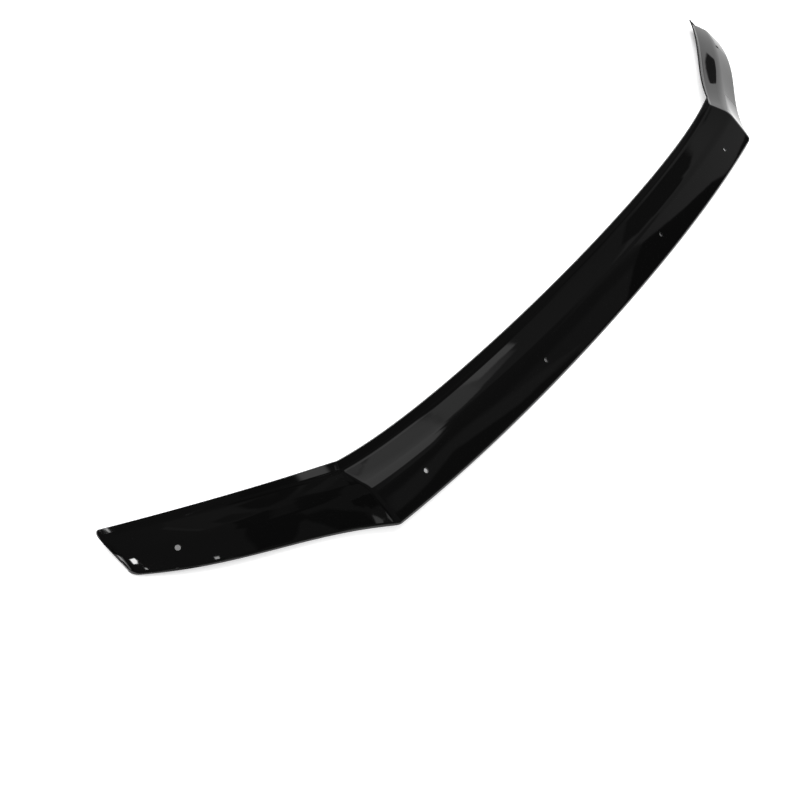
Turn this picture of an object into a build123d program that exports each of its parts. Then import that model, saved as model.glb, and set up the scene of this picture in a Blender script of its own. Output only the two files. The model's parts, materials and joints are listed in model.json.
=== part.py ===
from build123d import *
from math import atan2, cos, radians, sin, sqrt
import os

# Bonnet protector: one thermoformed sheet of black acrylic, lying face up.
# X runs across the vehicle, Y from the front edge towards the windscreen, Z up. Sizes in mm.

# Overall form, along the front edge
half_blade = 525.0         # mid-plane to each crease
wing_reach = 243.5         # crease to wing tip, across the vehicle
sheet = 3.0                # thickness of the sheet
bow_back = 26.5            # how far each crease lies behind the middle of the front edge
bow_rise = 14.0            # how far each crease stands above it
bow_tightening = 0.18      # share of the bow that is left to its last stretch

# Section of the blade, measured from the front edge
blade_depth = 94.2         # front edge to rear edge, level
blade_rise = 25.0          # front edge to rear edge, upright
crease_flare_depth = 6.0   # the section grows by this much towards the creases
crease_flare_rise = 3.7
fold_share = 0.55          # place of the fold along the chord
fold_height = 9.3          # height of the fold over the chord
fold_radius = 10.0         # crisp at the middle
fold_radius_crease = 34.0  # soft by the creases

# Edges
return_width = 4.0         # front edge turned down
return_angle = 36.0
return_radius = 6.0
lip_width = 14.0           # rear edge turned up
lip_angle = 31.0           # over the chord
lip_radius = 6.5

# Wings, from the crease to the tip
tip_depth = 67.0
tip_rise = 13.4
tip_back = 177.9           # front corner of the tip behind the crease
tip_drop = 11.9            # and below it
front_sweep = (1.00, 1.08)     # slopes of the wing's front edge in plan, at the crease and at the tip
rear_sweep = (0.64, 0.71)      # and of its rear edge
front_fall = (-0.19, -0.25)    # slopes of the front edge seen from the front
rear_fall = (-0.27, -0.23)
tip_fold_share = 0.45
tip_fold_height = 4.5
tip_fold_radius = 30.0
tip_lip_width = 9.0
crease_facet_front = 21.0  # width of the facet that eases the crease, at the front edge
crease_facet_rear = 4.0    # and at the rear edge

# End of the wing: the edge rolls down and both corners are round
tip_roll_radius = 6.0
tip_roll_angle = 50.0
tip_flatness = 0.8         # share of the fold and the lip that the roll takes out
tip_skew = 4.5             # how much further out the front corner lies than the rear corner
tip_front_corner = 5.0     # how much the corner takes off the end of the section
tip_rear_corner = 7.5

# Screw holes, three a side
hole_diameter = 6.5
hole_up = 31.5                 # front edge to hole, over the face
hole_places = (177.5, 447.0)   # mid-plane to each hole in the blade
wing_hole_inset = 46.5         # wing tip to the hole in the wing, across the vehicle
wing_hole_up = 30.5

# Stations of the sections, as shares of each run
blade_stations = (0.25, 0.5, 0.7, 0.86, 1.0)
wing_stations = (0.3, 0.5, 0.7, 0.86)
roll_stations = (0.0, 0.4, 0.7, 1.0)


def bow(place):
    """Share of the bow at a place along the front edge."""
    s = abs(place) / half_blade
    return (1 - bow_tightening) * s**2 + bow_tightening * s**4


def ease(u, start, end, slopes):
    """Smooth run from start to end over the wing, with a slope at each end."""
    first, last = (slope * wing_reach for slope in slopes)
    run = start * (1 + 2 * u) * (1 - u) ** 2 + end * u**2 * (3 - 2 * u)
    return run + first * u * (1 - u) ** 2 - last * u**2 * (1 - u)


def between(u, start, end):
    return start + (end - start) * u


def front_edge(place):
    """Point of the front edge at a distance from the mid-plane."""
    if abs(place) <= half_blade:
        return Vector(place, bow_back * bow(place), bow_rise * bow(place))
    u = (place - half_blade) / wing_reach
    back = ease(u, bow_back, bow_back + tip_back, front_sweep)
    return Vector(place, back, ease(u, bow_rise, bow_rise - tip_drop, front_fall))


def rear_edge(place):
    """Point of the rear edge at a distance from the mid-plane."""
    depth = blade_depth + crease_flare_depth
    rise = blade_rise + crease_flare_rise
    if abs(place) <= half_blade:
        flare = (abs(place) / half_blade) ** 8
        reach = Vector(0, between(flare, blade_depth, depth), between(flare, blade_rise, rise))
        return front_edge(place) + reach
    u = (place - half_blade) / wing_reach
    back = ease(u, bow_back + depth, bow_back + tip_back + tip_depth, rear_sweep)
    return Vector(place, back, ease(u, bow_rise + rise, bow_rise - tip_drop + tip_rise, rear_fall))


def section_frame(front_place, rear_place, sink=0.0, front_trim=0.0, rear_trim=0.0):
    """Plane with X along the chord and Y out of the face, and the length of the chord."""
    front, rear = front_edge(front_place), rear_edge(rear_place)
    along = (rear - front).normalized()
    out = Vector(0, -along.Z, along.Y).normalized()
    origin = front + along * front_trim - out * sink
    plane = Plane(origin=origin, x_dir=along, z_dir=along.cross(out))
    return plane, (rear - front).length - front_trim - rear_trim


def face_points(place, chord, flatness=0.0):
    """Corners of the face, from the front edge to the rear edge, and their radii."""
    u = max(0.0, (place - half_blade) / wing_reach)
    s = min(1.0, abs(place) / half_blade)
    fold_x = between(u, fold_share, tip_fold_share) * chord
    fold_y = between(u, fold_height, tip_fold_height) * (1 - flatness)
    radius = between(u, between(s**2, fold_radius, fold_radius_crease), tip_fold_radius)
    slope = atan2(fold_y, fold_x) + radians(return_angle)
    front_bend = (return_width * cos(slope), return_width * sin(slope))
    lip = between(u, lip_width, tip_lip_width)
    upturn = radians(lip_angle) * (1 - flatness)
    lip_foot = (chord - lip * cos(upturn), -lip * sin(upturn))
    corners = ((0, 0), front_bend, (fold_x, fold_y), lip_foot, (chord, 0))
    return [Vector(*corner) for corner in corners], (return_radius, radius, lip_radius)


def under_points(points):
    """The same corners on the under side of the sheet."""
    sides = [(end - start).normalized() for start, end in zip(points, points[1:])]
    unders = [Vector(side.Y, -side.X) for side in sides]
    corners = [(first + second) / (1 + first.dot(second)) for first, second in zip(unders, unders[1:])]
    return [point + step * sheet for point, step in zip(points, [unders[0], *corners, unders[-1]])]


def section(front_place, rear_place, flatness=0.0, **ends):
    """Closed section of the sheet, with both edges cut square."""
    plane, chord = section_frame(front_place, rear_place, **ends)
    points, radii = face_points((front_place + rear_place) / 2, chord, flatness)
    unders = under_points(points)
    bends = (1, 1, -1)     # the face bends down at the return and at the fold, and up at the lip
    with BuildSketch(plane) as profile:
        with BuildLine():
            FilletPolyline(*points, radius=radii)
            Line(points[-1], unders[-1])
            FilletPolyline(*unders, radius=[r - sheet * bend for r, bend in zip(radii, bends)])
            Line(unders[0], points[0])
        make_face()
    return profile.sketch


def straight_section(place, **ends):
    return section(place, place, **ends)


def hole_plane(place, up):
    """Plane on the face, square to it, at a distance over the face from the front edge."""
    plane, chord = section_frame(place, place)
    points, radii = face_points(place, chord)
    face = FilletPolyline(*points, radius=radii)
    spot = plane.from_local_coords(face.position_at(up, position_mode=PositionMode.LENGTH))
    over = plane.from_local_coords(face.tangent_at(up, position_mode=PositionMode.LENGTH)) - plane.origin
    along = front_edge(place + 1) - front_edge(place - 1)
    return Plane(origin=spot, x_dir=along, z_dir=along.cross(over))


def roll_section(share):
    """Section of the wing's end, part of the way round its turned-down edge."""
    angle = radians(tip_roll_angle)
    place = half_blade + wing_reach - tip_roll_radius * (sin(angle) - sin(share * angle))
    corner = 1 - sqrt(1 - (sin(share * angle) / sin(angle)) ** 2)
    drop = 1 - cos(share * angle)
    return section(
        place + tip_skew / 2,
        place - tip_skew / 2,
        flatness=tip_flatness * drop / (1 - cos(angle)),
        sink=tip_roll_radius * drop,
        front_trim=tip_front_corner * corner,
        rear_trim=tip_rear_corner * corner,
    )


# One wing: the facet of the crease, the wing itself and its rolled end
crease = straight_section(half_blade)
wing_root = section(half_blade + crease_facet_front, half_blade + crease_facet_rear)
rolled_end = [roll_section(share) for share in roll_stations]
with BuildPart() as wing:
    loft([crease, wing_root])
    loft([wing_root, *[straight_section(half_blade + u * wing_reach) for u in wing_stations], rolled_end[0]])
    loft(rolled_end)

# The whole sheet
blade_places = [-s * half_blade for s in reversed(blade_stations)] + [0.0]
blade_places += [s * half_blade for s in blade_stations]
hole_planes = [hole_plane(place, hole_up) for place in hole_places]
hole_planes.append(hole_plane(half_blade + wing_reach - wing_hole_inset, wing_hole_up))
with BuildPart(*hole_planes) as drills:
    Cylinder(hole_diameter / 2, 4 * sheet)
with BuildPart() as formed:
    loft([straight_section(place) for place in blade_places])
    add(wing.part)
    mirror(wing.part, about=Plane.YZ)
    add(drills.part, mode=Mode.SUBTRACT)
    mirror(drills.part, about=Plane.YZ, mode=Mode.SUBTRACT)

# It lies on the middle of its front edge and on both wing tips, and its origin is under its centre
box = formed.part.bounding_box()
with BuildPart() as deflector:
    add(formed.part.moved(Location((0, -box.center().Y, -box.min.Z))))
deflector.part.label = "deflector"

os.makedirs("parts", exist_ok=True)
export_step(deflector.part, "parts/deflector.step")
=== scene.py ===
import bpy
import json
from math import atan2, cos, pi, radians, sin, sqrt, tan
from mathutils import Matrix, Vector, noise
from mathutils.kdtree import KDTree
from types import SimpleNamespace


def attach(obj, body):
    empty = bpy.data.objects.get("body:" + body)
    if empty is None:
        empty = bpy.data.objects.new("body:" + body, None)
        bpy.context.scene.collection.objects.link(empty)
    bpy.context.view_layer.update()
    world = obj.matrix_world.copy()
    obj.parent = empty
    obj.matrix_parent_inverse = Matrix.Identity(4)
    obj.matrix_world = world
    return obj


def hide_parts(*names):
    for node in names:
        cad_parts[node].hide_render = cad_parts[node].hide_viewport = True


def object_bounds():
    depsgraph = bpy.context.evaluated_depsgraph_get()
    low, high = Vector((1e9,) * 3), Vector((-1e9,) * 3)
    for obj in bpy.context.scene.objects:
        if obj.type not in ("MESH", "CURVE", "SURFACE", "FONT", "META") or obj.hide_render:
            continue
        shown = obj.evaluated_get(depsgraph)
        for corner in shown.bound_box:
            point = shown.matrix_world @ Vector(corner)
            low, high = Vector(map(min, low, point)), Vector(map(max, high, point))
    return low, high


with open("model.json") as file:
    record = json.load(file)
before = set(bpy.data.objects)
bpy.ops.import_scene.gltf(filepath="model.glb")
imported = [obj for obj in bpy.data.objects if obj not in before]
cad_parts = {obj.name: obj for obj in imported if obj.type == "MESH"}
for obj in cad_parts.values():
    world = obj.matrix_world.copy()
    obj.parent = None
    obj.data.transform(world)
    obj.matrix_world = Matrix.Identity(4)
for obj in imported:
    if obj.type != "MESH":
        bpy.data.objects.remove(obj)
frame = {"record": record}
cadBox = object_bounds()
print("frame loaded")


def fromHex(hexColour):
    parts = [int(hexColour[i:i + 2], 16) / 255 for i in (1, 3, 5)]
    return tuple(c / 12.92 if c <= .04045 else ((c + .055) / 1.055) ** 2.4 for c in parts) + (1.0,)


def addNode(tree, kind, settings={}, links={}):
    node = tree.nodes.new("ShaderNode" + kind)
    for name, value in settings.items():
        if isinstance(name, str) and hasattr(node, name):
            setattr(node, name, value)
        else:
            node.inputs[name].default_value = value
    for name, source in links.items():
        tree.links.new(source, node.inputs[name])
    return node


def newMaterial(name):
    mat = bpy.data.materials.new(name)
    mat.use_nodes = True
    mat.node_tree.nodes.clear()
    return mat, mat.node_tree


def addObject(name, data):
    obj = bpy.data.objects.new(name, data)
    bpy.context.scene.collection.objects.link(obj)
    return obj


# camera: the sheet lies on the floor, seen from above its left wing
cameraSetup = dict(
    place=(-1.19766, -.306488, 1.094618),
    across=(.57551, -.78941, .21361),      # picture's right
    down=(-.56590, -.57298, -.59283),      # picture's bottom
    ahead=(.59038, .22030, -.77648),
    lens=49.5, sensor=36,                  # full frame
    nearest=.01,
)
camData = bpy.data.cameras.new("camera")
camData.lens = cameraSetup["lens"]
camData.sensor_width = cameraSetup["sensor"]
camData.clip_start = cameraSetup["nearest"]
cam = addObject("camera", camData)
axes = [Vector(cameraSetup["across"]), -Vector(cameraSetup["down"]), -Vector(cameraSetup["ahead"])]
cam.matrix_world = Matrix.Translation(cameraSetup["place"]) @ Matrix(axes).transposed().to_4x4()
bpy.context.scene.camera = cam
print("camera ready")


# black cast acrylic, heated and drawn over a former: it keeps its press polish and mirrors the room,
# with a faint orange peel and slightly duller patches where the skin was stretched
acrylicLook = dict(
    colour="#040404", roughness=.02,         # dyed through
    cutColour="#101012", cutRoughness=.22,   # routed edge, flame polished: softer and a shade paler
    ior=1.49,
    peelSize=.018, peelDepth=.000012,        # orange peel, 18 mm across
    dullSize=.06, dullFrom=.35, dullTo=.65, dullGain=.02,    # duller patches, about 60 mm across
)


def makeAcrylic(name, colour, roughness):
    mat, tree = newMaterial(name)
    place = addNode(tree, "TexCoord").outputs["Object"]
    peel = addNode(tree, "TexNoise", {"Scale": 1 / acrylicLook["peelSize"], "Detail": 1.0}, {"Vector": place})
    bump = addNode(tree, "Bump", {"Strength": 1.0, "Distance": acrylicLook["peelDepth"]},
                   {"Height": peel.outputs[0]})
    patches = addNode(tree, "TexNoise", {"Scale": 1 / acrylicLook["dullSize"], "Detail": 2.0},
                      {"Vector": place})
    dull = addNode(tree, "MapRange",
                   {"From Min": acrylicLook["dullFrom"], "From Max": acrylicLook["dullTo"],
                    "To Min": roughness, "To Max": roughness + acrylicLook["dullGain"]},
                   {"Value": patches.outputs[0]})
    skin = addNode(tree, "BsdfPrincipled", {"Base Color": fromHex(colour), "IOR": acrylicLook["ior"]},
                   {"Normal": bump.outputs[0], "Roughness": dull.outputs[0]})
    addNode(tree, "OutputMaterial", {}, {"Surface": skin.outputs[0]})
    return mat


acrylicFace = makeAcrylic("castAcrylicBlack", acrylicLook["colour"], acrylicLook["roughness"])
acrylicCut = makeAcrylic("castAcrylicCutEdge", acrylicLook["cutColour"], acrylicLook["cutRoughness"])
print("acrylic ready")


# the sheet, in metres; the sizes of its form are those of the CAD source
sheetForm = dict(
    halfBlade=.525, wingReach=.2435, thick=.003,
    bowBack=.0265, bowRise=.014, bowTightening=.18,
    bladeDepth=.0942, bladeRise=.025, flareDepth=.006, flareRise=.0037,
    foldShare=.55, foldHeight=.0093, foldRadius=.010, foldRadiusCrease=.034,
    returnWidth=.004, returnAngle=36, returnRadius=.006,
    lipWidth=.014, lipAngle=31, lipRadius=.0065,
    tipDepth=.067, tipRise=.0134, tipBack=.1779, tipDrop=.0119,
    frontSweep=(1.00, 1.08), rearSweep=(.64, .71), frontFall=(-.19, -.25), rearFall=(-.27, -.23),
    tipFoldShare=.45, tipFoldHeight=.0045, tipFoldRadius=.030, tipLipWidth=.009,
    facetFront=.021, facetRear=.004,       # the facet that eases the crease
    rollRadius=.006, rollAngle=50, tipFlatness=.8, tipSkew=.0045, tipFrontCorner=.005, tipRearCorner=.0075,
    crown=(0, .0002, .0002, 0),            # how far the panels bulge: return, front panel, rear panel, lip
    edgeEase=.0004,                        # cut edges are scraped before they are polished
    creaseSoft=.0022, creaseReach=.012,    # how far the crease is drawn round, and how far that is felt
    waveLength=.11, waveHeight=.00012, waveShift=(3.1, 7.7, 0),    # slow waves left by the forming
    fineWaves=2.3, fineHeight=.00003,      # this many times as short
    waveFade=.008,                         # they die out below this height, so that the sheet rests flat
    holeRadius=.00325, holeBreak=.00015,   # drilled, with the burr taken off
    floorGap=.000002,
    # facets round each bend and along each flat of the section, front to rear
    bendSteps=(8, 14, 10), flatSteps=(2, 10, 12, 5),
    # rows along the blade, close together from closeFrom on, then along the facet, the wing and its end
    rowStep=.005, closeStep=.001, closeFrom=.5, facetRows=14, rootRows=20, wingRows=34, rollRows=12,
    rootShare=.3, skewShare=.86,           # where the wing's root ends, and where its rows begin to skew
    drillReach=.006, holeSteps=48,
)
form = SimpleNamespace(**sheetForm)


def between(u, start, end):
    return start + (end - start) * u


def ease(u, start, end, slopes):
    first, last = (slope * form.wingReach for slope in slopes)
    run = start * (1 + 2 * u) * (1 - u) ** 2 + end * u * u * (3 - 2 * u)
    return run + first * u * (1 - u) ** 2 - last * u * u * (1 - u)


def frontEdge(place):
    if place <= form.halfBlade:
        s = place / form.halfBlade
        bow = (1 - form.bowTightening) * s ** 2 + form.bowTightening * s ** 4
        return Vector((place, form.bowBack * bow, form.bowRise * bow))
    u = (place - form.halfBlade) / form.wingReach
    back = ease(u, form.bowBack, form.bowBack + form.tipBack, form.frontSweep)
    return Vector((place, back, ease(u, form.bowRise, form.bowRise - form.tipDrop, form.frontFall)))


def rearEdge(place):
    depth = form.bladeDepth + form.flareDepth
    rise = form.bladeRise + form.flareRise
    if place <= form.halfBlade:
        flare = (place / form.halfBlade) ** 8
        reach = Vector((0, between(flare, form.bladeDepth, depth), between(flare, form.bladeRise, rise)))
        return frontEdge(place) + reach
    u = (place - form.halfBlade) / form.wingReach
    back = ease(u, form.bowBack + depth, form.bowBack + form.tipBack + form.tipDepth, form.rearSweep)
    up = ease(u, form.bowRise + rise, form.bowRise - form.tipDrop + form.tipRise, form.rearFall)
    return Vector((place, back, up))


def outward(heading):            # out of the face, for a heading from front to rear
    return Vector((-heading.y, heading.x))


def spun(v, angle):
    return Vector((v.x * cos(angle) - v.y * sin(angle), v.x * sin(angle) + v.y * cos(angle)))


def faceCorners(place, chord, flatness):       # corners of the face, front edge to rear edge, and their radii
    u = max(0, (place - form.halfBlade) / form.wingReach)
    s = min(1, place / form.halfBlade)
    foldX = between(u, form.foldShare, form.tipFoldShare) * chord
    foldY = between(u, form.foldHeight, form.tipFoldHeight) * (1 - flatness)
    foldRadius = between(u, between(s * s, form.foldRadius, form.foldRadiusCrease), form.tipFoldRadius)
    slope = atan2(foldY, foldX) + radians(form.returnAngle)
    lip = between(u, form.lipWidth, form.tipLipWidth)
    upturn = radians(form.lipAngle) * (1 - flatness)
    corners = [(0, 0), (form.returnWidth * cos(slope), form.returnWidth * sin(slope)), (foldX, foldY),
               (chord - lip * cos(upturn), -lip * sin(upturn)), (chord, 0)]
    return [Vector(corner) for corner in corners], (form.returnRadius, foldRadius, form.lipRadius)


def faceLine(corners, radii):    # points and headings along the face
    bulge = [4 * crown / (b - a).length for crown, a, b in zip(form.crown, corners, corners[1:])]
    line, tilts, start = [], [], corners[0]
    for i, radius in enumerate(radii):
        flat, bend = form.flatSteps[i], form.bendSteps[i]
        into = (corners[i + 1] - corners[i]).normalized()
        out = (corners[i + 2] - corners[i + 1]).normalized()
        turn = atan2(into.cross(out), into.dot(out))
        reach = radius * tan(abs(turn) / 2)
        bendStart = corners[i + 1] - into * reach
        centre = bendStart + outward(into) * (radius if turn > 0 else -radius)
        arm = bendStart - centre
        line += [(start.lerp(bendStart, k / flat), into) for k in range(flat)]
        line += [(centre + spun(arm, turn * k / bend), spun(into, turn * k / bend)) for k in range(bend)]
        tilts += [bulge[i] * (1 - 2 * k / flat) for k in range(flat)]
        tilts += [between(k / bend, -bulge[i], bulge[i + 1]) for k in range(bend)]
        start, heading = corners[i + 1] + out * reach, out
    flat = form.flatSteps[-1]
    line += [(start.lerp(corners[-1], k / flat), heading) for k in range(flat + 1)]
    tilts += [bulge[-1] * (1 - 2 * k / flat) for k in range(flat + 1)]
    return bulged(line, tilts)


def bulged(line, tilts):         # the same line, pushed out by the height that its tilts add up to
    heights = [0]
    for (a, _), (b, _), first, second in zip(line, line[1:], tilts, tilts[1:]):
        heights.append(heights[-1] + (b - a).length * (first + second) / 2)
    drift = heights[-1] / (len(line) - 1)
    return [(p + outward(d) * (height - drift * i), (d + outward(d) * tilt).normalized())
            for i, ((p, d), tilt, height) in enumerate(zip(line, tilts, heights))]


def cutEdge(p, d):               # across the thickness, from where a face ends with heading d
    e, t = form.edgeEase, form.thick
    n = outward(d)
    out, down = e * sin(pi / 4), e * (1 - cos(pi / 4))
    return [(p + d * out - n * down, (d - n).normalized(), 1),
            (p + d * e - n * e, -n, 1),
            (p + d * e - n * (t - e), -n, 1),
            (p + d * out - n * (t - down), (-d - n).normalized(), 1)]


def sheetRow(frontPlace, rearPlace, sink=0, frontTrim=0, rearTrim=0, flatness=0):
    # one closed section: its points, their headings, and 1 for those of a cut edge
    front, rear = frontEdge(frontPlace), rearEdge(rearPlace)
    along = (rear - front).normalized()
    out = Vector((0, -along.z, along.y)).normalized()
    origin = front + along * frontTrim - out * sink
    chord = (rear - front).length - frontTrim - rearTrim
    face = faceLine(*faceCorners((frontPlace + rearPlace) / 2, chord, flatness))
    face[0] = (face[0][0] + face[0][1] * form.edgeEase, face[0][1])
    face[-1] = (face[-1][0] - face[-1][1] * form.edgeEase, face[-1][1])
    under = [(p - outward(d) * form.thick, -d, 0) for p, d in reversed(face)]
    loop = [(p, d, 0) for p, d in face] + cutEdge(*face[-1]) + under + cutEdge(*under[-1][:2])
    points = [origin + along * p.x + out * p.y for p, _, _ in loop]
    headings = [along * d.x + out * d.y for _, d, _ in loop]
    return points, headings, [mark for _, _, mark in loop]


def spread(start, end, count):   # places of a row's front and rear end, evenly on from start
    return [[between(k / count, a, b) for a, b in zip(start, end)] for k in range(1, count + 1)]


# rows from the middle to the right tip, close together where the form turns quickly
blade, wing = form.halfBlade, form.wingReach
facetEnd = (blade + form.facetFront, blade + form.facetRear)
rootEnd = blade + form.rootShare * wing
skewStart = blade + form.skewShare * wing
rollTurn = radians(form.rollAngle)
rollStart = blade + wing - form.rollRadius * sin(rollTurn)
wideCount = round(form.closeFrom / form.rowStep)
closeCount = round((blade - form.closeFrom) / form.closeStep)
spots = [(0, 0)]
spots += spread((0, 0), (form.closeFrom, form.closeFrom), wideCount)
spots += spread((form.closeFrom, form.closeFrom), (blade, blade), closeCount)
spots += spread((blade, blade), facetEnd, form.facetRows)
spots += spread(facetEnd, (rootEnd, rootEnd), form.rootRows)
for k in range(1, form.wingRows):
    place = between(k / form.wingRows, rootEnd, rollStart)
    skew = form.tipSkew / 2 * max(0, (place - skewStart) / (rollStart - skewStart))
    spots.append((place + skew, place - skew))
rows = [sheetRow(*spot) for spot in spots]
for k in range(form.rollRows + 1):
    turn = rollTurn * k / form.rollRows
    corner = 1 - sqrt(max(0, 1 - (sin(turn) / sin(rollTurn)) ** 2))
    drop = 1 - cos(turn)
    place = rollStart + form.rollRadius * sin(turn)
    rows.append(sheetRow(
        place + form.tipSkew / 2, place - form.tipSkew / 2, sink=form.rollRadius * drop,
        frontTrim=form.tipFrontCorner * corner, rearTrim=form.tipRearCorner * corner,
        flatness=form.tipFlatness * drop / (1 - cos(rollTurn)),
    ))
cutMarks = rows[0][2]
flip = Vector((-1, 1, 1))
grid = [[p * flip for p in row[0]] for row in reversed(rows[1:])] + [row[0] for row in rows]
heads = [[h * flip for h in row[1]] for row in reversed(rows[1:])] + [row[1] for row in rows]
rowCount, ringCount = len(grid), len(grid[0])

# the crease is drawn round by averaging its rows again and again
creaseRows = [i for i, row in enumerate(grid) if abs(abs(row[0].x) - blade) < form.creaseReach]
for again in range(round(2 * (form.creaseSoft / form.closeStep) ** 2)):
    for table in (grid, heads):
        before = {i: table[i] for j in creaseRows for i in (j - 1, j, j + 1)}
        for i in creaseRows:
            table[i] = [(a + b * 2 + c) / 4 for a, b, c in zip(before[i - 1], before[i], before[i + 1])]

foremost, lowest = (min(p[axis] for row in grid for p in row) for axis in (1, 2))
shift = Vector((0, cadBox[0][1] - foremost, cadBox[0][2] - lowest + form.floorGap))
grid = [[p + shift for p in row] for row in grid]


def wave(p):
    q = Vector((p.x, p.y, 0)) / form.waveLength
    slow = form.waveHeight * noise.noise(q + Vector(form.waveShift))
    fine = form.fineHeight * noise.noise(q * form.fineWaves)
    return (slow + fine) * min(1, max(0, p.z) / form.waveFade)


def waveSlope(p, heading, step=.001):
    return (wave(p + heading * step) - wave(p)) / step


heads = [[h + Vector((0, 0, waveSlope(p, h))) for p, h in zip(*pair)] for pair in zip(grid, heads)]
grid = [[p + Vector((0, 0, wave(p))) for p in row] for row in grid]
verts = [p for row in grid for p in row]
normals = []
for i in range(rowCount):
    ahead, behind = grid[min(i + 1, rowCount - 1)], grid[max(i - 1, 0)]
    normals += [(a - b).cross(h).normalized() for a, b, h in zip(ahead, behind, heads[i])]

faceSlot, cutSlot = 0, 1
quads, slots = [], []
for i in range(rowCount - 1):
    for j in range(ringCount):
        k = (j + 1) % ringCount
        quads.append((i * ringCount + j, (i + 1) * ringCount + j, (i + 1) * ringCount + k, i * ringCount + k))
        slots.append(cutSlot if cutMarks[j] or cutMarks[k] else faceSlot)
edgeCount = sum(cutMarks) // 2
faceCount = ringCount // 2 - edgeCount
for i in (0, rowCount - 1):      # the ends, quad by quad between face and under side
    ring = [i * ringCount + j for j in range(ringCount)]
    ends = []
    for j in range(faceCount - 1):
        under = 2 * faceCount + edgeCount - 1 - j
        ends.append((ring[j], ring[j + 1], ring[under - 1], ring[under]))
    for first in (faceCount - 1, 2 * faceCount + edgeCount - 1):       # and across each cut edge
        ends.append(tuple(ring[j % ringCount] for j in range(first, first + edgeCount + 2)))
    quads += [end[::-1] for end in ends] if i else ends        # both face outwards
    slots += [cutSlot] * len(ends)
wholeMesh = bpy.data.meshes.new("wholeSheet")
wholeMesh.from_pydata(verts, [], quads)
wholeMesh.polygons.foreach_set("material_index", slots)
whole = addObject("wholeSheet", wholeMesh)
print("sheet rows", rowCount, "ring", ringCount, "shift", tuple(round(v, 5) for v in shift))


# the six holes, where the frame has them; each drill opens out at 45 degrees past the broken edge
mounts = [mount for mount in frame["record"]["mounts"] if mount["kind"] == "bore"]
wallEnd = form.thick / 2 - form.holeBreak
mouth = form.holeRadius + form.drillReach - wallEnd
profile = [(-form.drillReach, mouth), (-wallEnd, form.holeRadius),
           (wallEnd, form.holeRadius), (form.drillReach, mouth)]
steps = form.holeSteps
turns = [2 * pi * k / steps for k in range(steps)]
drillVerts, drillFaces = [], []
for mount in mounts:
    spin = Vector(mount["axis"]).to_track_quat("Z", "Y").to_matrix()
    base = len(drillVerts)
    for height, radius in profile:
        ring = [Vector((radius * cos(turn), radius * sin(turn), height)) for turn in turns]
        drillVerts += [Vector(mount["pos_m"]) + spin @ point for point in ring]
    for level in range(len(profile) - 1):
        for k in range(steps):
            a, b = base + level * steps + k, base + level * steps + (k + 1) % steps
            drillFaces.append((a, b, b + steps, a + steps))
    drillFaces.append(tuple(base + k for k in reversed(range(steps))))
    drillFaces.append(tuple(base + (len(profile) - 1) * steps + k for k in range(steps)))
drillMesh = bpy.data.meshes.new("drills")
drillMesh.from_pydata(drillVerts, [], drillFaces)
drills = addObject("drills", drillMesh)
for mesh in (wholeMesh, drillMesh):
    mesh.materials.append(acrylicFace)
    mesh.materials.append(acrylicCut)
drillMesh.polygons.foreach_set("material_index", [cutSlot] * len(drillFaces))
cut = whole.modifiers.new("holes", "BOOLEAN")
cut.object = drills
cut.operation = "DIFFERENCE"
cut.solver = "EXACT"
sheetMesh = bpy.data.meshes.new_from_object(whole.evaluated_get(bpy.context.evaluated_depsgraph_get()))
sheetMesh.name = "sheet"
sheet = addObject("sheet", sheetMesh)
for extra in (whole, drills):
    bpy.data.objects.remove(extra)

# every corner of the face keeps the normal of the true form, also beside the holes
shading = dict(
    holeReach=.0042, holeSteep=.9,         # a facet this near a hole that leans more than this is its wall
    endReach=.001, endSteep=.5,            # the same for the sheet's ends
    up=Vector((0, -.3, 1)),                # tells the face from the under side
    neighbours=8, samePoint=.000001, alike=.7,
)
knownPoints = KDTree(len(verts))
for i, p in enumerate(verts):
    knownPoints.insert(p, i)
knownPoints.balance()


def trueNormal(p, flat):         # from the row point that lies there, or else from those around it
    total = Vector()
    for _, i, gap in knownPoints.find_n(p, shading["neighbours"]):
        if gap < shading["samePoint"]:
            return normals[i]
        if normals[i].dot(flat) > shading["alike"]:
            total += normals[i] / gap
    return total.normalized() if total.length else flat


def hardFacet(centre, flat):     # walls of the holes and the ends of the sheet stay flat
    for mount in mounts:
        close = (centre - Vector(mount["pos_m"])).length < shading["holeReach"]
        if close and abs(flat.dot(Vector(mount["axis"]))) < shading["holeSteep"]:
            return True
    return abs(flat.x) > shading["endSteep"] and abs(abs(centre.x) - cadBox[1][0]) < shading["endReach"]


known, cornerNormals = {}, []
for poly in sheetMesh.polygons:
    flat = poly.normal.copy()
    if hardFacet(poly.center, flat):
        cornerNormals += [flat] * len(poly.vertices)
        continue
    for v in poly.vertices:
        side = (v, flat.dot(shading["up"]) > 0)
        if side not in known:
            known[side] = trueNormal(sheetMesh.vertices[v].co, flat)
        cornerNormals.append(known[side])
sheetMesh.polygons.foreach_set("use_smooth", [True] * len(sheetMesh.polygons))
sheetMesh.normals_split_custom_set(cornerNormals)
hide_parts("deflector")
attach(sheet, "root")
print("holes cut, triangles about", sum(len(poly.vertices) - 2 for poly in sheetMesh.polygons))


def seenDirectly(tree, rays):    # 1 for what the camera, a reflection or a look through glass sees
    either = addNode(tree, "Math", {"operation": "MAXIMUM"},
                     {0: rays.outputs["Is Camera Ray"], 1: rays.outputs["Is Glossy Ray"]})
    seen = addNode(tree, "Math", {"operation": "MAXIMUM"},
                   {0: either.outputs[0], 1: rays.outputs["Is Transmission Ray"]})
    return seen.outputs[0]


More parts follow.
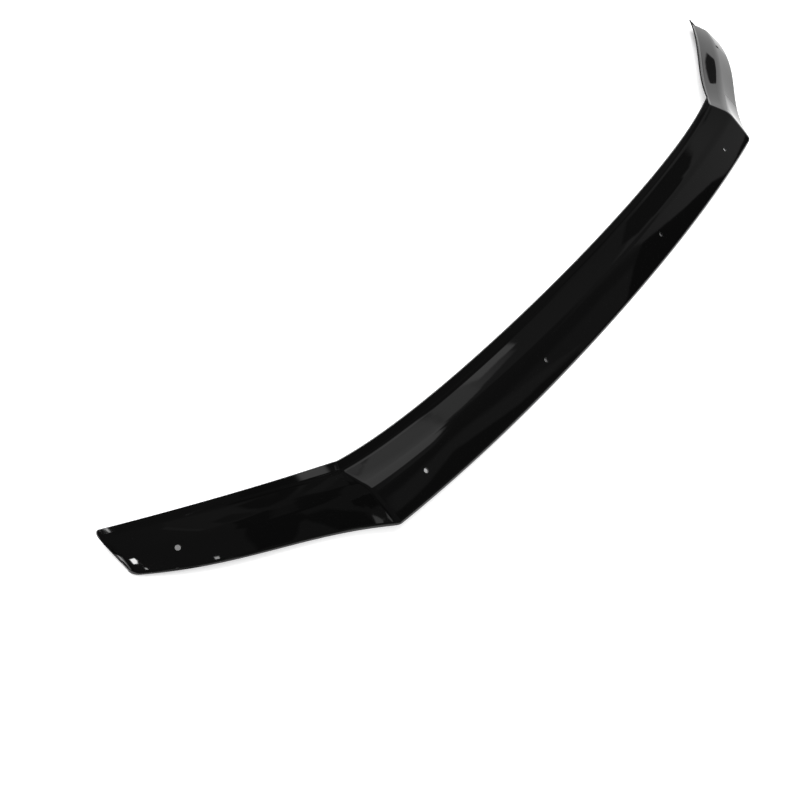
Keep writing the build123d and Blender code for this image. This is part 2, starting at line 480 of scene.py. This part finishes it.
# floor: a roll of white paper, uncoated, so it has no gloss and takes a soft shadow
floorLook = dict(
    half=8.0, colour="#e6e6e6",
    lift=.68,                              # what white paper adds under a softbox
    shade=.04, shadeFrom=.1, shadeTo=.5, shadeSamples=8,     # painted shade: no lift close under the sheet
)
half = floorLook["half"]
corners = [(-half, -half, 0), (half, -half, 0), (half, half, 0), (-half, half, 0)]
floorMesh = bpy.data.meshes.new("floor")
floorMesh.from_pydata(corners, [], [(0, 1, 2, 3)])
floor = addObject("floor", floorMesh)
mat, tree = newMaterial("whitePaper")
seen = seenDirectly(tree, addNode(tree, "LightPath"))
paper = addNode(tree, "BsdfDiffuse", {"Color": fromHex(floorLook["colour"])})
# painted shade: the floor's glow fades where the sheet is close overhead, so the floor is darker under it and
# through the holes
near = addNode(tree, "AmbientOcclusion",
               {"samples": floorLook["shadeSamples"], "Distance": floorLook["shade"]})
paintedShadeFactor = addNode(tree, "MapRange", {"From Min": floorLook["shadeFrom"], "From Max": floorLook["shadeTo"]},
               {"Value": near.outputs["AO"]})
lift = addNode(tree, "Math", {"operation": "MULTIPLY"}, {0: seen, 1: paintedShadeFactor.outputs[0]})
lift = addNode(tree, "Math", {"operation": "MULTIPLY", 1: floorLook["lift"]}, {0: lift.outputs[0]})
glow = addNode(tree, "Emission", {}, {"Strength": lift.outputs[0]})
both = addNode(tree, "AddShader", {}, {0: paper.outputs[0], 1: glow.outputs[0]})
addNode(tree, "OutputMaterial", {}, {"Surface": both.outputs[0]})
floorMesh.materials.append(mat)


# panels that only reflections see: the softboxes and the dark and pale things of the room
panelSetup = dict(
    ceiling=1.5, gap=.0005,                # height of the first overhead panel, and from one to the next
    wingPlace=(-.68, .06, .015), farOff=4,
    sharpest=.6,                           # keeps the rim short at sharp corners
)


def overhead(x, y, height):
    return Vector((x, y, height))


def onWall(y, z, x):             # upright, across the far end
    return Vector((x, y, z))


def onSide(x, z, y):             # upright, behind the rear edge
    return Vector((x, y, z))


def around(heading, height, far):        # far off, as the left wing sees it; both in degrees
    flat = cos(radians(height))
    towards = Vector((flat * cos(radians(heading)), flat * sin(radians(heading)), sin(radians(height))))
    return Vector(panelSetup["wingPlace"]) + towards * far


def rimCorner(before, corner, after, shift):     # a corner of the outline, moved outwards
    into, out = (corner - before).normalized(), (after - corner).normalized()
    first, second = Vector((into.y, -into.x)), Vector((out.y, -out.x))
    return corner + (first + second) * shift / max(panelSetup["sharpest"], 1 + first.dot(second))


def makePanel(name, outline, light, soft, at, ramp=None, placing=overhead):
    # even inside and clear at its rim, which is as wide as soft says
    corners = [Vector(corner) for corner in outline]
    if sum(a.cross(b) for a, b in zip(corners, corners[1:] + corners[:1])) < 0:
        corners.reverse()
    trios = list(zip(corners[-1:] + corners[:-1], corners, corners[1:] + corners[:1]))
    verts = [placing(*rimCorner(*trio, shift), at) for shift in (-soft / 2, soft / 2) for trio in trios]
    count = len(corners)
    faces = [tuple(range(count))]
    faces += [(i, count + i, count + (i + 1) % count, (i + 1) % count) for i in range(count)]
    mesh = bpy.data.meshes.new(name)
    mesh.from_pydata(verts, [], faces)
    fill = mesh.attributes.new("fill", "FLOAT", "POINT")
    fill.data.foreach_set("value", [1.0] * count + [0.0] * count)
    mat, tree = newMaterial(name + "Light")
    glow = addNode(tree, "Emission", {"Strength": light})
    if ramp:                     # axis, from, to and the light at the far end
        axis, near, far, lightThere = ramp
        where = addNode(tree, "SeparateXYZ", {}, {0: addNode(tree, "TexCoord").outputs["Object"]})
        run = addNode(tree, "MapRange",
                      {"From Min": near, "From Max": far, "To Min": light, "To Max": lightThere},
                      {"Value": where.outputs[axis]})
        tree.links.new(run.outputs[0], glow.inputs["Strength"])
    rim = addNode(tree, "Attribute", {"attribute_name": "fill"})
    fade = addNode(tree, "MapRange", {"interpolation_type": "SMOOTHSTEP"}, {"Value": rim.outputs["Fac"]})
    clear = addNode(tree, "BsdfTransparent")
    mix = addNode(tree, "MixShader", {}, {0: fade.outputs[0], 1: clear.outputs[0], 2: glow.outputs[0]})
    addNode(tree, "OutputMaterial", {}, {"Surface": mix.outputs[0]})
    mesh.materials.append(mat)
    panel = addObject(name, mesh)
    panel.visible_camera = panel.visible_diffuse = panel.visible_shadow = False


# overhead, each just under the one before, which it hides
overheadPanels = dict(
    hallCeiling=dict(light=.10, soft=.03, outline=[
        (-4, -3.5), (3.3, -3.5), (3.15, .6), (3.12, 1.0), (2.62, 1.0), (2.55, 3.5), (-4, 3.5)]),
    upperGlow=dict(light=.13, soft=.10, ramp=("X", 1.6, 2.25, .09), outline=[
        (1.2, .9), (2.3, .9), (2.3, 2.2), (1.2, 2.2)]),
    darkBeam=dict(light=.065, soft=.05, outline=[
        (.5, -.95), (1.1, -.93), (2.25, -1.0), (2.25, -1.08), (1.2, -1.05), (.5, -1.04)]),
    darkAisle=dict(light=.07, soft=.12, outline=[
        (.84, -.9), (1.5, -.9), (1.5, .6), (1.25, .75), (.95, .3), (.84, -.05)]),
    doorway=dict(light=.16, soft=.06, outline=[
        (.65, -.85), (.84, -.85), (.84, -.28), (.65, -.28)]),
    lightBand=dict(light=.14, soft=.04, outline=[
        (.67, -1.02), (.93, -.99), (1.1, -1.02), (1.33, -1.09), (1.75, -1.21), (1.3, -1.18), (.95, -1.07),
        (.67, -1.145)]),
    frontDark=dict(light=.05, soft=.015, outline=[
        (.5, -1.13), (.67, -1.14), (.82, -1.115), (.95, -1.065), (1.1, -1.115), (1.3, -1.175), (1.7, -1.225),
        (1.7, -1.5), (.5, -1.5)]),
    rightGlow=dict(light=.17, soft=.02, ramp=("X", 2.0, 3.1, .25), outline=[
        (2.0, .9), (2.02, -.9), (2.2, -1.0), (3.0, -1.25), (3.3, -1.25), (3.3, .2), (2.6, 1.2), (2.45, 1.2),
        (2.2, .96)]),
    rightDark=dict(light=.03, soft=.012, outline=[
        (2.02, -1.35), (2.08, -1.2), (2.13, -1.08), (2.2, -1.0), (2.36, -1.03), (2.64, -1.08), (2.84, -1.12),
        (2.98, -1.18), (3.08, -1.19), (3.14, -1.15), (3.3, -1.05), (3.6, -2.6), (2.0, -2.6)]),
    longSoftbox=dict(light=.86, soft=.03, ramp=("Y", .9, 1.15, .58), outline=[
        (.45, -.24), (.7, -.28), (.79, -.28), (.87, .06), (1.0, .5), (1.33, 1.06), (1.95, 2.2), (1.4, 2.2),
        (.9, .95), (.6, .3)]),
    secondSoftbox=dict(light=.5, soft=.015, outline=[
        (1.32, 1.04), (1.46, 1.05), (1.58, 1.24), (1.66, 1.4), (1.53, 1.4), (1.39, 1.18)]),
    softboxSeam=dict(light=.38, soft=.01, outline=[
        (1.335, 1.08), (1.345, 1.08), (1.45, 1.25), (1.44, 1.25)]),
    softboxSpill=dict(light=.42, soft=.03, ramp=("X", 1.5, 1.8, .14), outline=[
        (1.47, 1.07), (1.66, 1.1), (1.75, 1.3), (1.58, 1.3)]),
    rearStrip=dict(light=.75, soft=.02, outline=[
        (1.56, 1.19), (1.72, 1.17), (1.85, 1.45), (1.62, 1.5)]),
)
for i, (name, look) in enumerate(overheadPanels.items()):
    makePanel(name, at=panelSetup["ceiling"] - i * panelSetup["gap"], **look)

# nearer by: a window frame beside the right half, and what stands around the left wing
nearPanels = dict(
    windowFrame=dict(light=.045, soft=.012, at=.5, outline=[
        (.76, .27), (.8, .24), (.86, .24), (.9, .16), (.93, .16), (.98, .24), (1.0, .235), (1.035, .26),
        (1.06, .31), (1.1, .38), (.98, .44), (.86, .34)]),
    leftOval=dict(light=.13, soft=.02, at=.83, outline=[
        (-.3, .64), (-.26, .59), (-.23, .55), (-.16, .5), (-.09, .47), (-.05, .55), (.06, .68), (.1, .76),
        (-.2, .76), (-.26, .69)]),
    ovalRim=dict(light=.17, soft=.01, at=.82, outline=[
        (-.31, .66), (-.27, .59), (-.23, .54), (-.18, .52), (-.24, .6), (-.27, .68)]),
    ovalShade=dict(light=.08, soft=.02, at=.82, outline=[
        (-.13, .62), (-.13, .575), (-.08, .55), (-.045, .55), (-.02, .6), (-.03, .65)]),
    leftReel=dict(light=.05, soft=.01, at=.81, outline=[
        (-.015, .57), (.01, .58), (.06, .67), (.09, .72), (.05, .72), (0, .63)]),
    leftStand=dict(light=.045, soft=.015, at=.8, outline=[
        (-.25, .38), (-.17, .43), (-.05, .53), (-.33, .13), (-.48, -.13), (-.49, -.41), (-.53, -.41),
        (-.56, -.385), (-.58, -.4), (-.61, -.47), (-.66, -.6), (-.86, -.66), (-.82, -.56), (-.73, -.5),
        (-.67, -.44), (-.6, -.39), (-.555, -.3), (-.57, -.22), (-.53, -.07)]),
    creaseShade=dict(light=.04, soft=.015, at=.79, outline=[
        (-.76, -.36), (-.84, -.42), (-.9, -.55), (-.84, -.555), (-.78, -.5)]),
    creaseLamp=dict(light=.9, soft=.01, at=.79, outline=[
        (-.835, -.585), (-.85, -.63), (-.9, -.65), (-.91, -.62)]),
    tipLamp=dict(light=22, soft=.008, at=.8, outline=[
        (-1.215, -.048), (-1.175, -.008), (-1.135, -.008), (-1.15, -.03), (-1.185, -.05)]),
    cornerLamp=dict(light=8, soft=.005, at=.8, outline=[
        (-1.22, -.105), (-1.2, -.092), (-1.188, -.097), (-1.2, -.112)]),
    frontLamp=dict(light=7, soft=.006, at=.59, outline=[
        (-.722, -.14), (-.705, -.148), (-.7, -.138), (-.717, -.13)]),
    # painted shade: a dark sheet lying on the floor beside the wing tip, seen only in reflections, for the
    # floor's shade there
    paintedTipShade=dict(light=.035, soft=.01, at=.0015, outline=[
        (-.782, -.1), (-1.6, -.3), (-1.6, .6), (-.782, .3)]),
    # painted highlight: a glowing patch on the floor beside the wing tip, which the end of the sheet mirrors
    # as a glint
    paintedEndGlint=dict(light=5, soft=.003, at=.002, outline=[
        (-.786, .099), (-.9, .097), (-.9, .12), (-.787, .108)]),
)
for name, look in nearPanels.items():
    makePanel(name, **look)

# upright, past the far end and behind the rear edge, where the right wing looks
uprightPanels = dict(
    whiteWall=dict(light=1.3, soft=.1, ramp=("Z", 0, .6, 1.45), placing=onWall, at=3.45, outline=[
        (-.8, 0), (2.6, 0), (2.6, 2.3), (-.8, 2.3)]),
    darkCurtain=dict(light=.04, soft=.1, placing=onSide, at=3.0, outline=[
        (1.7, 0), (4.2, 0), (4.2, 1.45), (1.7, 1.45)]),
)
for name, look in uprightPanels.items():
    makePanel(name, **look)

# what the rims of the left wing mirror, as headings and heights over the floor in degrees
rimPanels = dict(
    frontHorizon=dict(light=.45, soft=6, outline=[(-136, -4), (-92, -4), (-92, 11), (-136, 11)]),
    rearLip=dict(light=1.1, soft=1, outline=[(-113.2, 14.3), (-108.8, 14.3), (-108.8, 18.5), (-113.2, 18.5)]),
    bladeHorizon=dict(light=2.0, soft=4, outline=[(-66, -10), (-42, -10), (-42, 2), (-66, 2)]),
    endGlow=dict(light=2.0, soft=1, outline=[(166.5, 0), (170.5, 0), (171, 4), (167, 4)]),
    lipLampLow=dict(light=12, soft=.6, outline=[(-133, 20.2), (-131.6, 20.2), (-131.6, 21.4), (-133, 21.4)]),
    lipLamp=dict(light=5, soft=.6, outline=[(-128.6, 22.5), (-127.6, 22.5), (-127.6, 23.5), (-128.6, 23.5)]),
    lipLampHigh=dict(light=8, soft=1, outline=[(-156, 64), (-150, 62), (-143, 53), (-147, 52)]),
)
for name, look in rimPanels.items():
    makePanel(name, placing=around, at=panelSetup["farOff"], **look)
print("panels hung")


# world: white for the camera, an even light on everything, and for reflections a dark room
# with a white backdrop low down on one side
skyLook = dict(
    strength=.75, darkRoom=.085,
    backdropHeading=50, backdropFrom=.30, backdropTo=.50,    # the last two are cosines, at its soft sides
    backdropTop=30, backdropSoft=2,                          # degrees over the floor
)
sky = bpy.data.worlds.new("studio")
bpy.context.scene.world = sky
sky.use_nodes = True
tree = sky.node_tree
tree.nodes.clear()
rays = addNode(tree, "LightPath")
seen = seenDirectly(tree, rays)
where = addNode(tree, "TexCoord").outputs["Generated"]
heading = radians(skyLook["backdropHeading"])
level = addNode(tree, "VectorMath", {"operation": "MULTIPLY", 1: (1, 1, 0)}, {0: where})
level = addNode(tree, "VectorMath", {"operation": "NORMALIZE"}, {0: level.outputs[0]})
towards = addNode(tree, "VectorMath", {"operation": "DOT_PRODUCT", 1: (cos(heading), sin(heading), 0)},
                  {0: level.outputs[0]})
sides = addNode(tree, "MapRange",
                {"interpolation_type": "SMOOTHSTEP", "From Min": skyLook["backdropFrom"],
                 "From Max": skyLook["backdropTo"]},
                {"Value": towards.outputs["Value"]})
top = radians(skyLook["backdropTop"])
overTop = radians(skyLook["backdropTop"] + skyLook["backdropSoft"])
band = addNode(tree, "MapRange",
               {"interpolation_type": "SMOOTHSTEP", "From Min": sin(top), "From Max": sin(overTop),
                "To Min": 1.0, "To Max": 0.0},
               {"Value": addNode(tree, "SeparateXYZ", {}, {0: where}).outputs["Z"]})
backdrop = addNode(tree, "Math", {"operation": "MULTIPLY"}, {0: sides.outputs[0], 1: band.outputs[0]})
room = addNode(tree, "MapRange", {"To Min": skyLook["darkRoom"], "To Max": 1.0},
               {"Value": backdrop.outputs[0]})
shown = addNode(tree, "Math", {"operation": "MAXIMUM"},
                {0: room.outputs[0], 1: rays.outputs["Is Camera Ray"]})
white = addNode(tree, "Background", {}, {"Strength": shown.outputs[0]})
ambient = addNode(tree, "Background", {"Strength": skyLook["strength"]})
pick = addNode(tree, "MixShader", {}, {0: seen, 1: ambient.outputs[0], 2: white.outputs[0]})
addNode(tree, "OutputWorld", {}, {"Surface": pick.outputs[0]})

# one wide lamp gives the soft shadow; reflections show the panels instead of it
lampLook = dict(energy=60.0, size=2.2, place=(.3, .6, 2.6))
lampData = bpy.data.lights.new("softLamp", "AREA")
lampData.energy = lampLook["energy"]
lampData.size = lampLook["size"]
lamp = addObject("softLamp", lampData)
lamp.location = lampLook["place"]
lamp.rotation_euler = (-Vector(lampLook["place"])).to_track_quat("-Z", "Y").to_euler()
lamp.visible_glossy = False
bpy.context.scene.view_settings.view_transform = "Standard"
print("studio ready")
